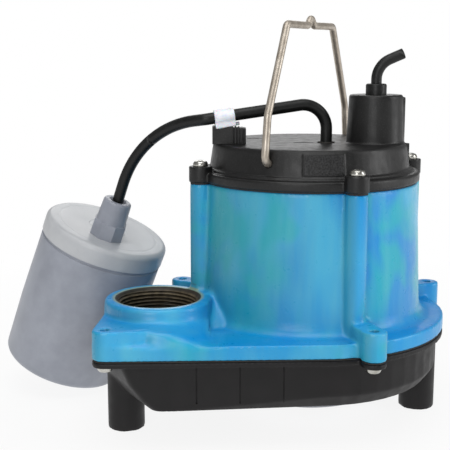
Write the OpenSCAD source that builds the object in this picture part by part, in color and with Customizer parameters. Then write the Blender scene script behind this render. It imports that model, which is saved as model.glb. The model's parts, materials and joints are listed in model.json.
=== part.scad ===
// Submersible sump pump: oil-filled motor in an iron housing, plastic cover and volute base,
// wire bail handle, and a tethered float switch strapped to the cover.
// The origin is on the floor under the motor shaft. +Z is up, and the discharge lies towards -X.

/* [Motor housing] */
// Height of the joint face between the motor housing and the volute base
parting_z = 55.6; // [55:0.2:57]
// Height of the joint face between the motor housing and the top cover
drum_top_z = 145.8; // [145:0.2:147]
// Outer radius of the drum at its top
drum_top_r = 66.1; // [65.5:0.1:67]
// Outer radius of the drum at its foot
drum_foot_r = 69.6; // [69:0.1:70.5]
// Radius of the oil-filled motor chamber
chamber_r = 60; // [59:0.5:61]
// Radius of the circle that the four cover screws sit on
cover_screw_circle_r = 69.5; // [69:0.1:70]

/* [Flange] */
// Radius of the round part of the flange
flange_r = 84.2; // [83.5:0.1:85]
// Thickness of the flange rim
flange_t = 8.4; // [7.5:0.1:9.5]
// Radius of the screw bosses on the flange
boss_r = 7.2; // [7:0.1:7.6]
// Height of the flat tops of the screw bosses
boss_top_z = 72.4; // [71:0.2:74]

/* [Discharge port] */
// Distance of the port's axis from the motor shaft along X
port_x = -99; // [-100:0.5:-98]
// Distance of the port's axis from the motor shaft along Y
port_y = -11; // [-12:0.5:-10]
// Height of the port's rim
port_rim_z = 80.5; // [79:0.5:82]
// Outer radius of the port at its rim
port_rim_r = 31.3; // [31:0.1:32]
// Radius of the port's threaded wall, measured at the thread crests
thread_r = 22.25; // [22:0.05:22.5]
// Radius of the countersunk mouth above the thread
mouth_r = 25.1; // [24.5:0.1:25.6]

/* [Volute base] */
// Height of the flat underside of the base above the floor
belly_z = 25; // [24.5:0.5:26]
// Radius of the round part of the base wall
belly_r = 80; // [79.5:0.1:80.5]
// Thickness of the moulded base wall
base_wall = 4; // [3.5:0.1:4.2]
// Radius of each foot
foot_r = 11; // [10:0.1:11.5]

/* [Top cover] */
// Height of the cover's flat top
cover_top_z = 168.2; // [167.8:0.2:169]
// Radius of the dome at the top of its wall
dome_r = 59; // [58.8:0.1:59.4]
// Height of the cord boss's top
cord_boss_top_z = 197; // [196:0.5:199]

/* [Bail handle] */
// Diameter of the handle wire
wire_d = 4.4; // [4.2:0.1:4.6]
// Height of the handle's top bar, at the wire's centre
handle_top_z = 238; // [236:0.5:240]
// Half the distance between the handle's legs where they hang beside the dome
handle_half_w = 64.4; // [64:0.1:65]

/* [Cords] */
// Diameter of the float switch's cord
float_cord_d = 7; // [6.8:0.1:7.1]
// Diameter of the power cord
power_cord_d = 6.4; // [6:0.1:6.6]

/* [Float] */
// Outer radius of the float
float_r = 40; // [39.5:0.1:40.5]
// Length of the float from its bottom to its cap's flat face
float_len = 100; // [98:0.5:101]
// Angle of the float's axis from upright as it leans on the floor
float_lean = 21.6; // [21:0.1:22]

/* [Motor] */
// Radius of the motor shaft
shaft_r = 6; // [6:0.1:6.1]
// Outer radius of the stator's laminations
stator_r = 56; // [55.5:0.1:56.5]
// Radius of the rotor
rotor_r = 29.6; // [29.2:0.1:29.8]
// Outer radius of the impeller
impeller_r = 42; // [40:0.5:44]

/* [Hidden] */

$fn = 96;
cut = 1;                      // how far a cutting shape runs past the face it cuts
run_gap = 0.05;               // radial clearance of a part that turns in another

// Joint faces and gaskets
gasket_t = 0.8;
lip_t = 3.2;                  // thickness of the base's flange lip
lip_top_z = parting_z - gasket_t;
lip_z = lip_top_z - lip_t;    // underside of the base's lip, where the screw heads bear

// Plan of the flange: the screw bosses, then the corner boss beyond the port
rim_bosses = [[3.1, -89.1], [88.5, 6.2], [-64.2, 62.6]];
corner_boss = [-137, -42];
web_corner = [-119, -49];     // where the raised web's front edge turns towards the port
skirt_at = [-92.5, -48.8];    // front end of the port's skirt, just inside the flange's front edge
skirt_r = 12;
skirt_h = 8.8;
skirt_end = [-109, -46.2];    // where the skirt runs out against the raised web
skirt_end_r = 8;
port_at = [port_x, port_y];
port_wrap_r = port_rim_r + 5;
screw_r = 2.5;
screw_hole_r = 2.75;
head_r = 4.3;
head_h = 2.9;

// Motor housing
floor_z = 76;                 // floor of the motor chamber
recess_z = 62;                // roof of the pump chamber cast into the housing's underside
recess_r = 50;
column_r = 6.3;
chamfer_h = mouth_r - thread_r;
thread_top_z = port_rim_z - chamfer_h;
seat_z = 64;
seat_r = 13;
seat_h = 7;
passage_r = 7.2;
bearing_r = 16;
bearing_h = 10;
lower_bearing_z = 78;
upper_bearing_z = 141;
post_circle_r = 50.5;
post_r = 4;
stator_z = 92;
stator_h = 40;
bracket_top_z = 150;

// Volute base
wall_foot = 8;                // height of the slanted foot of the base's wall
foot_in = 6;                  // how far that foot slants inwards
end_at = [-103, 2];           // rounded end of the base under the port
end_r = 27;
end_top = [-120, -39.5];      // front corner of that end, at the lip and at the underside
end_top_r = 8;
end_top_h = 4;
end_steps = [[-117.2, -42.9, 13], [-111.7, -44.4, 21]]; // curve between them, with depths
end_low = [-105.5, -46.2];
end_low_r = 7;
inlet_r = 22;
feet = [[-117.6, -3.4], [66.3, -24.2], [14, 70]];
front_az = -105.7;            // direction that the straight front wall faces
seam_pitch = 24.2;

// Top cover
cover_flange_h = 5.8;
cover_boss_h = 9.6;
cover_boss_r = 6.9;
cover_wall = 3.5;
cover_in_r = 55.5;
cord_boss_at = [35.2, -18.6];
power_cord_az = -17.6;        // plan direction that the power cord bends towards
gland_r = 6.25;
gland_z = cord_boss_top_z - 8;
gland_top_z = cord_boss_top_z + 6.5;

// Bail handle
wire_r = wire_d / 2;
handle_az = 45;               // the hooks lie on the diagonal between the cover screws
pivot_z = 160.5;
hook_bend_r = 3.6;
hook_end = 54;

// Cord from the cover to the tie
cord_r = float_cord_d / 2;
entry = [6.5, -11];
entry_rise_z = 176.5;
over_bend_r = 14.5;
cord_az = 170.6;              // plan direction from the entry hole to the tie
cord_fall = 8;                // slope of the cord below level as it passes the tie
tie_s = 62.4;                 // distance along the plan from the entry hole to the tie
hinge_s = 73.4;
grommet_r = 5.2;
mount_top_z = 178.8;
mount_at = [-51.6, 0.1];      // middle of the block that carries the tie
stem_at = [-3, -2];           // the tie's stem, from the middle of the block

// Height of the cord's centre at a plan distance s from the entry, beyond the bend
function cord_z(s) = entry_rise_z + over_bend_r * cos(cord_fall)
    - (s - over_bend_r * (1 + sin(cord_fall))) * tan(cord_fall);
function cord_xy(s) = [entry.x + s * cos(cord_az), entry.y + s * sin(cord_az)];
hinge = [cord_xy(hinge_s).x, cord_xy(hinge_s).y, cord_z(hinge_s)];

// Float: its own frame has the cap's face at z = 0 and the body below
float_at = [-113.3, 66, 108.8];
float_az = -38;
gland_xy = [5.8, -13.8];
gland_len = 25;
cap_h = 12;
float_axis = [sin(float_lean) * cos(float_az), sin(float_lean) * sin(float_az), cos(float_lean)];
float_side_x = [cos(float_lean) * cos(float_az), cos(float_lean) * sin(float_az), -sin(float_lean)];
float_side_y = [-sin(float_az), cos(float_az), 0];
gland_top = float_at + gland_xy.x * float_side_x + gland_xy.y * float_side_y
    + gland_len * float_axis;

// Tether: level start, one bend, then a straight end into the float's gland
tether_az = atan2(gland_top.y - hinge.y, gland_top.x - hinge.x);
tether_end_fall = 70;
tether_start = 8;
reach = norm([gland_top.x - hinge.x, gland_top.y - hinge.y]) - tether_start * cos(cord_fall);
drop = hinge.z - gland_top.z - tether_start * sin(cord_fall);
bend_x = sin(tether_end_fall) - sin(cord_fall);
bend_z = cos(cord_fall) - cos(tether_end_fall);
tether_bend_r = (reach * sin(tether_end_fall) - drop * cos(tether_end_fall))
    / (bend_x * sin(tether_end_fall) - bend_z * cos(tether_end_fall));
tether_end = (drop - bend_z * tether_bend_r) / sin(tether_end_fall);

module ring(r_out, r_in, z0, h) {
    translate([0, 0, z0]) difference() {
        cylinder(r = r_out, h = h);
        translate([0, 0, -cut]) cylinder(r = r_in, h = h + 2 * cut);
    }
}

module at_points(points) {
    for (p = points) translate([p.x, p.y, 0]) children();
}

module at_cover_screws() {
    for (a = [0:90:270]) rotate([0, 0, a]) translate([cover_screw_circle_r, 0, 0]) children();
}

module at_posts() {
    for (a = [45:90:315]) rotate([0, 0, a]) translate([post_circle_r, 0, 0]) children();
}

// Outline shared by the housing's flange, the gasket and the base's lip
module flange_plan(inset = 0) {
    hull() {
        circle(r = flange_r - inset, $fn = 120);
        translate(port_at) circle(r = port_wrap_r - inset, $fn = 64);
        translate(corner_boss) circle(r = boss_r - inset, $fn = 32);
    }
    for (p = rim_bosses) translate(p) circle(r = boss_r - inset, $fn = 48);
}

// Disc that reaches down from the base's lip, and up through it by rise
module hung_disc(at, r, h, rise) {
    translate([at.x, at.y, lip_z - belly_z - h]) cylinder(r = r, h = h + rise, $fn = 48);
}

// Disc on the flat underside of the base
module low_disc(at, r, inset) {
    translate([at.x, at.y, inset]) cylinder(r = r - inset, h = 1, $fn = 48);
}

// Body of the volute base up to its lip, shrunk by inset for the hollow inside
module belly(inset = 0) {
    wall_h = lip_z - belly_z - wall_foot;
    rise = inset > 0 ? lip_t + cut : 0;
    hull() {
        hung_disc([0, 0], belly_r - inset, wall_h, rise);
        low_disc([0, 0], belly_r - foot_in, inset);
        hung_disc(end_at, end_r - inset, wall_h - end_top_h, rise);
        low_disc(end_at, end_r - wall_foot, inset);
        hung_disc(end_top, end_top_r - inset, end_top_h, rise);
        for (p = end_steps) hung_disc([p.x, p.y], end_low_r - inset, p.z, rise);
        low_disc(end_low, end_low_r, inset);
    }
}

module motor_housing() {
    color([0.33, 0.70, 0.84]) difference() {
        union() {
            translate([0, 0, parting_z]) linear_extrude(flange_t) flange_plan();
            translate([0, 0, parting_z]) cylinder(r = drum_foot_r, h = flange_t);
            translate([0, 0, parting_z + flange_t - 0.1])
                cylinder(r1 = drum_foot_r, r2 = drum_top_r,
                         h = drum_top_z - gasket_t - parting_z - flange_t + 0.1);
            foot_fillet();
            at_cover_screws() translate([0, 0, parting_z + 1])
                cylinder(r = column_r, h = drum_top_z - gasket_t - parting_z - 1);
            for (p = rim_bosses) rim_boss(p);
            corner_web();
            port_skirt();
            port_boss();
        }
        translate([0, 0, floor_z]) cylinder(r = chamber_r, h = 100);
        translate([0, 0, parting_z - cut]) cylinder(r = recess_r, h = recess_z - parting_z + cut);
        translate([0, 0, parting_z]) cylinder(r = passage_r, h = 30);
        translate([0, 0, seat_z - 3]) cylinder(r = seat_r, h = seat_h + 3);
        port_bore();
        at_cover_screws() translate([0, 0, drum_top_z - 26]) cylinder(r = screw_r, h = 30);
        at_points(concat(rim_bosses, [corner_boss])) translate([0, 0, parting_z - cut])
            cylinder(r = screw_r, h = 30);
    }
    color([0.33, 0.70, 0.84]) difference() {
        union() {
            translate([0, 0, floor_z]) cylinder(r = bearing_r + 5, h = bearing_h + 3);
            at_posts() translate([0, 0, floor_z]) cylinder(r = post_r, h = stator_z - floor_z);
        }
        translate([0, 0, floor_z - cut]) cylinder(r = passage_r, h = 30);
        translate([0, 0, lower_bearing_z]) cylinder(r = bearing_r, h = 30);
        at_posts() translate([0, 0, floor_z + 2]) cylinder(r = 1.8, h = 30);
    }
}

// Concave casting fillet where the drum meets the flange
module foot_fillet() {
    fillet_r = 7;
    base_z = parting_z + flange_t - 0.2;
    rotate_extrude() difference() {
        translate([drum_foot_r - 3, base_z]) square([fillet_r + 3, fillet_r]);
        translate([drum_foot_r + fillet_r, base_z + fillet_r]) circle(r = fillet_r, $fn = 64);
    }
}

module rim_boss(p) {
    translate([p.x, p.y, parting_z]) cylinder(r = boss_r, h = boss_top_z - parting_z);
    reach_r = norm(p);
    rotate([0, 0, atan2(p.y, p.x)])
        translate([chamber_r + 2, -boss_r + 0.4, parting_z + 1])
        cube([reach_r - chamber_r - 2, 2 * boss_r - 0.8, boss_top_z - parting_z - 1]);
}

// Raised web that joins the corner boss to the port
module corner_web() {
    translate([0, 0, parting_z + 0.5]) linear_extrude(boss_top_z - parting_z - 0.5) hull() {
        translate(corner_boss) circle(r = boss_r - 0.2, $fn = 32);
        translate(web_corner) circle(r = 2.5, $fn = 32);
        translate(port_at) circle(r = port_rim_r - 1, $fn = 48);
    }
}

// Sloping skirt between the port's wall and the flange's straight front edge
module port_skirt() {
    hull() {
        translate([port_x, port_y, parting_z + 1])
            cylinder(r = port_rim_r - 0.6, h = boss_top_z - 1.2 - parting_z - 1, $fn = 64);
        translate([skirt_at.x, skirt_at.y, parting_z + 1]) cylinder(r = skirt_r, h = skirt_h, $fn = 48);
        translate([skirt_end.x, skirt_end.y, parting_z + 1])
            cylinder(r = skirt_end_r, h = boss_top_z - 0.9 - parting_z - 1, $fn = 48);
    }
}

module port_boss() {
    edge = 1.4;
    translate([port_x, port_y, parting_z + 0.5]) {
        cylinder(r1 = port_rim_r + 1.6, r2 = port_rim_r, h = port_rim_z - parting_z - 0.5 - edge);
        translate([0, 0, port_rim_z - parting_z - 0.5 - edge])
            cylinder(r1 = port_rim_r, r2 = port_rim_r - edge, h = edge);
    }
}

module port_bore() {
    translate([port_x, port_y, parting_z - cut]) cylinder(r = thread_r, h = 40);
    translate([port_x, port_y, thread_top_z])
        cylinder(r1 = thread_r, r2 = mouth_r + cut, h = chamfer_h + cut);
}

module volute_base() {
    color([0.10, 0.10, 0.10]) difference() {
        union() {
            intersection() {
                translate([0, 0, belly_z]) belly();
                translate([-150, -120, belly_z - 1]) cube([300, 240, lip_z - belly_z + 1.5]);
            }
            translate([0, 0, lip_z]) linear_extrude(lip_t) flange_plan();
            at_points(feet) cylinder(r = foot_r, h = lip_z - 6);
        }
        front_seams();
        intersection() {
            translate([0, 0, belly_z]) belly(base_wall);
            translate([-150, -120, belly_z + base_wall]) cube([300, 240, 60]);
        }
        translate([0, 0, belly_z - cut]) cylinder(r = inlet_r, h = base_wall + 2 * cut);
        at_points(concat(rim_bosses, [corner_boss])) {
            translate([0, 0, lip_z - cut]) cylinder(r = screw_hole_r, h = 10);
            translate([0, 0, lip_z - 30]) cylinder(r = head_r + 1, h = 30);
        }
        at_points(feet) translate([0, 0, -cut]) cylinder(r = foot_r - base_wall, h = belly_z);
    }
}

// Thin upright grooves along the straight front wall
module front_seams() {
    seam_w = 1;
    seam_d = 0.8;
    rotate([0, 0, front_az]) for (i = [0:2])
        translate([belly_r - seam_d, -seam_pitch * (i + 0.92), belly_z + wall_foot / 2])
            cube([5, seam_w, lip_z - belly_z - wall_foot / 2 - cut]);
}

module volute_gasket() {
    color([0.12, 0.12, 0.12]) difference() {
        translate([0, 0, lip_top_z]) linear_extrude(gasket_t) flange_plan(0.8);
        translate([0, 0, lip_top_z - cut]) cylinder(r = belly_r - base_wall - 2, h = 5);
        translate([port_x, port_y, lip_top_z - cut]) cylinder(r = thread_r + 1, h = 5);
        at_points(concat(rim_bosses, [corner_boss])) translate([0, 0, lip_top_z - cut])
            cylinder(r = screw_hole_r, h = 5);
    }
}

// Pan-head screw pointing up from the origin, with a cross recess in its head
module pan_screw(length) {
    difference() {
        union() {
            cylinder(r = screw_r - 0.02, h = length);
            translate([0, 0, -head_h + 0.9]) cylinder(r = head_r, h = head_h - 0.9);
            translate([0, 0, -head_h]) cylinder(r1 = head_r - 1.1, r2 = head_r, h = 0.9);
        }
        for (a = [0, 90]) rotate([0, 0, a]) translate([-2.2, -0.5, -head_h - cut])
            cube([4.4, 1, cut + 1.4]);
    }
}

module base_screws() {
    color([0.75, 0.75, 0.73]) at_points(concat(rim_bosses, [corner_boss]))
        translate([0, 0, lip_z]) pan_screw(boss_top_z - lip_z - 3);
}

// Inlet plate held below the base on stand-offs
module intake_strainer() {
    plate_z = 13;
    plate_t = 3;
    color([0.62, 0.63, 0.66]) difference() {
        union() {
            ring(44, inlet_r - 2, plate_z, plate_t);
            for (a = [15:60:315]) rotate([0, 0, a]) translate([37, 0, plate_z + 1])
                cylinder(r = 3, h = belly_z - plate_z - 1);
        }
        for (a = [45:60:345]) rotate([0, 0, a]) translate([31, 0, plate_z - cut])
            cylinder(r = 3.5, h = 10);
    }
}

module top_cover() {
    color([0.13, 0.13, 0.13]) difference() {
        union() {
            dome_shell();
            at_cover_screws() translate([0, 0, drum_top_z]) cylinder(r = cover_boss_r, h = cover_boss_h);
            label_pad();
            cord_boss();
        }
        translate([0, 0, drum_top_z - cut])
            cylinder(r = cover_in_r, h = cover_top_z - cover_wall - drum_top_z + cut);
        at_cover_screws() translate([0, 0, drum_top_z - cut]) cylinder(r = screw_hole_r, h = 20);
        rotate([0, 0, handle_az]) translate([-80, 0, pivot_z]) rotate([0, 90, 0])
            cylinder(r = wire_r + run_gap, h = 160);
        translate([entry.x, entry.y, cover_top_z - 10]) cylinder(r = grommet_r, h = 20);
        translate([cord_boss_at.x, cord_boss_at.y, 0]) {
            translate([0, 0, cover_top_z - 10]) cylinder(r = power_cord_d / 2 + 0.3, h = 60);
            translate([0, 0, gland_z]) cylinder(r = gland_r, h = 20);
        }
        top_slot([-24.5, 30], 11);
        top_slot([-6, -5.8], 12);
    }
}

// Flange, wall and flat top of the cover, turned as one section
module dome_shell() {
    edge = 1.8;
    step_z = drum_top_z + cover_flange_h;
    rotate_extrude() polygon([[0, drum_top_z], [67.2, drum_top_z], [67.2, step_z - 0.8], [66.4, step_z],
        [62.6, step_z], [62.6, step_z + 1.6], [dome_r + 2, step_z + 1.6], [dome_r, cover_top_z - edge],
        [dome_r - 0.5, cover_top_z - 0.6], [dome_r - edge, cover_top_z], [0, cover_top_z]]);
}

// Blank raised panel on the front of the dome
module label_pad() {
    low_z = drum_top_z + 7.8;
    rotate([0, 0, -115.6]) rotate_extrude(angle = 22.4) polygon([[dome_r - 2, low_z],
        [dome_r + 2.5, low_z], [dome_r + 0.6, cover_top_z - 2], [dome_r - 2, cover_top_z - 2]]);
}

module cord_boss() {
    translate([cord_boss_at.x, cord_boss_at.y, cover_top_z - 1]) {
        cylinder(r1 = 17.4, r2 = 16.1, h = cord_boss_top_z - cover_top_z);
        translate([0, 0, cord_boss_top_z - cover_top_z]) cylinder(r1 = 16.1, r2 = 15.3, h = 1);
        rotate([0, 0, power_cord_az]) translate([14, -1.2, 0])
            cube([3.8, 2.4, cord_boss_top_z - cover_top_z - 0.6]);
    }
    rotate([0, 0, -24.8]) translate([dome_r - 3, -1.2, drum_top_z + 7])
        cube([4.6, 2.4, cover_top_z - drum_top_z - 7.4]);
}

module top_slot(centre, length) {
    translate([centre.x, centre.y, cover_top_z - 1.2]) rotate([0, 0, power_cord_az])
        translate([-length / 2, -1.2, 0]) cube([length, 2.4, 5]);
}

module cover_gasket() {
    color([0.20, 0.18, 0.16]) difference() {
        union() {
            ring(drum_top_r - 0.4, chamber_r + 0.4, drum_top_z - gasket_t, gasket_t);
            at_cover_screws() translate([0, 0, drum_top_z - gasket_t])
                cylinder(r = column_r - 0.2, h = gasket_t);
        }
        at_cover_screws() translate([0, 0, drum_top_z - 5]) cylinder(r = screw_hole_r, h = 10);
    }
}

module cover_screws() {
    color([0.75, 0.75, 0.73]) at_cover_screws()
        translate([0, 0, drum_top_z + cover_boss_h]) mirror([0, 0, 1]) pan_screw(cover_boss_h + 22);
}

// Bent length of cord in the XZ plane about the origin, from one angle to another above +X. It is a
// hair thinner than the straight lengths, and its ends are buried in them.
module cord_bend(r, bend_r, from, to) {
    thinner = 0.03;
    buried = 1.2;
    rotate([90, 0, 0]) rotate([0, 0, from - buried])
        rotate_extrude(angle = to - from + 2 * buried)
        translate([bend_r, 0]) circle(r = r - thinner);
}

// Straight length of round bar between two points, with a ball at its far end
module bar(a, b, r) {
    v = b - a;
    translate(a) rotate([0, 0, atan2(v.y, v.x)])
        rotate([0, acos(v.z / norm(v)), 0]) cylinder(r = r, h = norm(v));
    translate(b) sphere(r = r * 1.01);
}

// Wire bail: a trapezium with a raised nick in its top bar and hooks turned in at its feet
module bail_handle() {
    half_top = 35.5;
    shoulder = [60.8, 187];
    nick = 4.5;
    color([0.72, 0.68, 0.62]) rotate([0, 0, handle_az]) for (side = [-1, 1]) {
        leg = [[side * hook_end, 0, pivot_z], [side * (handle_half_w - hook_bend_r), 0, pivot_z],
               [side * (handle_half_w - hook_bend_r * 0.29), 0, pivot_z + hook_bend_r * 0.29],
               [side * handle_half_w, 0, pivot_z + hook_bend_r],
               [side * shoulder.x, 0, shoulder.y],
               [side * (half_top + 1.2), 0, handle_top_z - 2.4],
               [side * (half_top - 1.6), 0, handle_top_z],
               [side * nick, 0, handle_top_z - 0.3], [0, 0, handle_top_z + 4.2]];
        for (i = [0:len(leg) - 2]) bar(leg[i], leg[i + 1], wire_r);
    }
}

module cord_gland() {
    color([0.07, 0.07, 0.07]) translate([cord_boss_at.x, cord_boss_at.y, 0])
        difference() {
            union() {
                translate([0, 0, gland_z]) cylinder(r = gland_r, h = gland_top_z - gland_z - 1);
                translate([0, 0, gland_top_z - 1]) cylinder(r1 = gland_r, r2 = gland_r - 1, h = 1);
            }
            translate([0, 0, gland_z - cut]) cylinder(r = power_cord_d / 2, h = 30);
        }
}

// Power cord: up through the cord boss, then bent over to a cut end
module power_cord() {
    r = power_cord_d / 2;
    bend_r = 13;
    bend_z = gland_top_z + 2.5;
    sweep = 68;
    color([0.05, 0.05, 0.05]) translate([cord_boss_at.x, cord_boss_at.y, 0])
        rotate([0, 0, power_cord_az]) {
        translate([0, 0, cover_top_z - 14]) cylinder(r = r, h = bend_z - cover_top_z + 14);
        translate([bend_r, 0, bend_z]) cord_bend(r, bend_r, 180 - sweep, 180);
        translate([bend_r * (1 - cos(sweep)), 0, bend_z + bend_r * sin(sweep)])
            rotate([0, sweep, 0]) cylinder(r = r, h = 8);
    }
}

// Fixed run of the float's cord: up out of the cover, over, and down a gentle slope to the tie
module float_cord() {
    slope_s = over_bend_r * (1 + sin(cord_fall));
    slope_len = (hinge_s - slope_s) / cos(cord_fall) - cord_r - 0.4;
    color([0.05, 0.05, 0.05]) translate([entry.x, entry.y, 0]) rotate([0, 0, cord_az]) {
        translate([0, 0, cover_top_z - 14]) cylinder(r = cord_r, h = entry_rise_z - cover_top_z + 14);
        translate([over_bend_r, 0, entry_rise_z])
            cord_bend(cord_r, over_bend_r, 90 - cord_fall, 180);
        translate([slope_s, 0, cord_z(slope_s)]) rotate([0, 90 + cord_fall, 0])
            cylinder(r = cord_r, h = slope_len);
    }
}

module cord_grommet() {
    color([0.06, 0.06, 0.06]) translate([entry.x, entry.y, 0]) {
        ring(grommet_r, cord_r, cover_top_z - 5, 5.6);
        ring(grommet_r + 1.2, cord_r, cover_top_z - cover_wall - 1.5, 1.5);
    }
}

// Frame of the tie's block, turned the same way as the slots and the power cord
module on_mount() {
    translate([mount_at.x, mount_at.y, cover_top_z]) rotate([0, 0, power_cord_az]) children();
}

// Block on the dome's edge that carries the tie, with grip ridges at its inner end
module tie_mount() {
    block = [20, 10, mount_top_z - cover_top_z];
    plain = 12.4;
    ridge_pitch = 1.9;
    color([0.10, 0.10, 0.10]) on_mount() difference() {
        translate([-block.x / 2, -block.y / 2, 0]) {
            cube([plain, block.y, block.z]);
            translate([0, 0.7, 0]) cube([block.x - 0.6, block.y - 1.4, block.z - 1]);
            for (i = [0:3]) translate([plain + 0.9 + ridge_pitch * i, 0, 0])
                cube([1, block.y, block.z - 0.4 * i]);
        }
        translate([stem_at.x - 2.05, stem_at.y - 1.55, 3]) cube([4.1, 3.1, 20]);
    }
}

// White strap around the float's cord, with a stem that plugs into the block
module cable_tie() {
    band = 12;
    band_t = 1;
    color([0.88, 0.89, 0.92]) {
        translate([cord_xy(tie_s).x, cord_xy(tie_s).y, cord_z(tie_s)]) rotate([0, 0, cord_az])
            rotate([0, 90 + cord_fall, 0]) difference() {
                translate([0, 0, -band / 2]) cylinder(r = cord_r + band_t, h = band);
                translate([0, 0, -band / 2 - cut]) cylinder(r = cord_r + run_gap, h = band + 2 * cut);
            }
        difference() {
            on_mount() translate([stem_at.x - 2, stem_at.y - 1.5, 4])
                cube([4, 3, mount_top_z + 1.6 - cover_top_z - 4]);
            translate([cord_xy(tie_s).x, cord_xy(tie_s).y, cord_z(tie_s)]) rotate([0, 0, cord_az])
                rotate([0, 90 + cord_fall, 0]) cylinder(r = cord_r + run_gap, h = 40, center = true);
        }
    }
}

module stator_core() {
    slots = 24;
    color([0.45, 0.45, 0.47]) difference() {
        ring(stator_r, rotor_r + 0.5, stator_z, stator_h);
        for (i = [0:slots - 1]) rotate([0, 0, i * 360 / slots])
            translate([rotor_r + 3, -1.8, stator_z - cut]) cube([12, 3.6, stator_h + 2 * cut]);
        at_posts() translate([0, 0, stator_z - cut]) cylinder(r = 2.2, h = stator_h + 2 * cut);
    }
}

// Copper end turns above and below the laminations
module stator_windings() {
    color([0.62, 0.32, 0.14]) {
        ring(45.5, 33, stator_z + stator_h, 8);
        ring(45.5, 33, stator_z - 9, 9);
        for (i = [0:23]) rotate([0, 0, i * 15]) translate([rotor_r + 4, -1.6, stator_z - 1])
            cube([10.5, 3.2, stator_h + 2]);
    }
}

module stator_screws() {
    color([0.7, 0.7, 0.7]) at_posts() {
        translate([0, 0, floor_z + 3]) cylinder(r = 1.78, h = bracket_top_z - floor_z - 3);
        translate([0, 0, bracket_top_z]) cylinder(r = 3.4, h = 3.2, $fn = 6);
    }
}

// Four-armed bracket that holds the upper bearing above the stator
module bearing_bracket() {
    color([0.66, 0.67, 0.69]) difference() {
        union() {
            translate([0, 0, upper_bearing_z - 1]) cylinder(r = bearing_r + 4, h = bearing_h + 2);
            for (a = [45, 135]) rotate([0, 0, a]) translate([-post_circle_r, -5, bracket_top_z - 4])
                cube([2 * post_circle_r, 10, 4]);
            at_posts() translate([0, 0, stator_z + stator_h])
                cylinder(r = 4.2, h = bracket_top_z - stator_z - stator_h);
        }
        translate([0, 0, 120]) cylinder(r = 9, h = 60);
        translate([0, 0, upper_bearing_z]) cylinder(r = bearing_r, h = 30);
        at_posts() translate([0, 0, 120]) cylinder(r = 2.2, h = 60);
    }
}

module thermal_protector() {
    color([0.15, 0.15, 0.16]) translate([24, -4, bracket_top_z + 0.1]) difference() {
        cube([20, 13, 7]);
        translate([4, 4, 6]) cube([12, 5, 4]);
    }
}

module rotor_core() {
    color([0.50, 0.50, 0.52]) difference() {
        union() {
            translate([0, 0, stator_z]) cylinder(r = rotor_r, h = stator_h);
            translate([0, 0, stator_z - 2.5]) cylinder(r = rotor_r - 3, h = stator_h + 5);
        }
        cylinder(r = shaft_r, h = 200);
    }
}

module motor_shaft() {
    low_z = 36;
    top_z = 152;
    color([0.78, 0.78, 0.80]) {
        translate([0, 0, low_z]) cylinder(r = shaft_r, h = top_z - low_z);
        translate([0, 0, top_z]) cylinder(r1 = shaft_r, r2 = shaft_r - 1, h = 1);
    }
}

// Ball bearing pieces: race rings with a grooved track, and the balls between them
module race(r_out, r_in, z0) {
    rotate_extrude() difference() {
        translate([r_in, z0]) square([r_out - r_in, bearing_h]);
        translate([(bearing_r + shaft_r) / 2, z0 + bearing_h / 2]) circle(r = 3);
    }
}

module balls(z0) {
    for (a = [0:45:315]) rotate([0, 0, a])
        translate([(bearing_r + shaft_r) / 2, 0, z0 + bearing_h / 2]) sphere(r = 3 - run_gap);
}

module upper_bearing_outer() { color("silver") race(bearing_r, 13, upper_bearing_z); }
module upper_bearing_inner() { color("silver") race(9, shaft_r, upper_bearing_z); }
module upper_bearing_balls() { color("gainsboro") balls(upper_bearing_z); }
module lower_bearing_outer() { color("silver") race(bearing_r, 13, lower_bearing_z); }
module lower_bearing_inner() { color("silver") race(9, shaft_r, lower_bearing_z); }
module lower_bearing_balls() { color("gainsboro") balls(lower_bearing_z); }

module seal_seat() {
    color([0.85, 0.83, 0.78]) ring(seat_r, passage_r, seat_z, seat_h);
}

module seal_head() {
    color([0.18, 0.18, 0.19]) ring(10.5, shaft_r, seat_z - 6 - run_gap, 6);
}

// Rubber bellows that pushes the seal head against its seat
module seal_bellows() {
    low = 51.5;
    high = seat_z - 6 - run_gap;
    fold = (high - low) / 6;
    color([0.10, 0.10, 0.11]) rotate_extrude() polygon(concat(
        [for (i = [0:6]) [i % 2 == 0 ? 10.2 : 8, low + i * fold]],
        [[shaft_r, high], [shaft_r, low]]));
}

module impeller() {
    vane_h = 11;
    shroud_z = 44;
    color([0.20, 0.20, 0.22]) {
        difference() {
            union() {
                translate([0, 0, 38]) cylinder(r = 11, h = 13.5);
                translate([0, 0, shroud_z]) cylinder(r = impeller_r, h = 3.5);
            }
            cylinder(r = shaft_r, h = 100);
        }
        for (a = [0:72:288]) rotate([0, 0, a]) vane(shroud_z - vane_h, vane_h + 0.5);
    }
}

// One backward-curved vane, cut from a ring
module vane(z0, h) {
    vane_r = 24;
    intersection() {
        translate([10.5, vane_r - 3, 0]) ring(vane_r, vane_r - 3, z0, h);
        translate([0, 0, z0]) cylinder(r = impeller_r - 0.5, h = h);
        translate([10, -40, z0]) cube([50, 42 + vane_r - 5, h]);
    }
}

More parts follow.
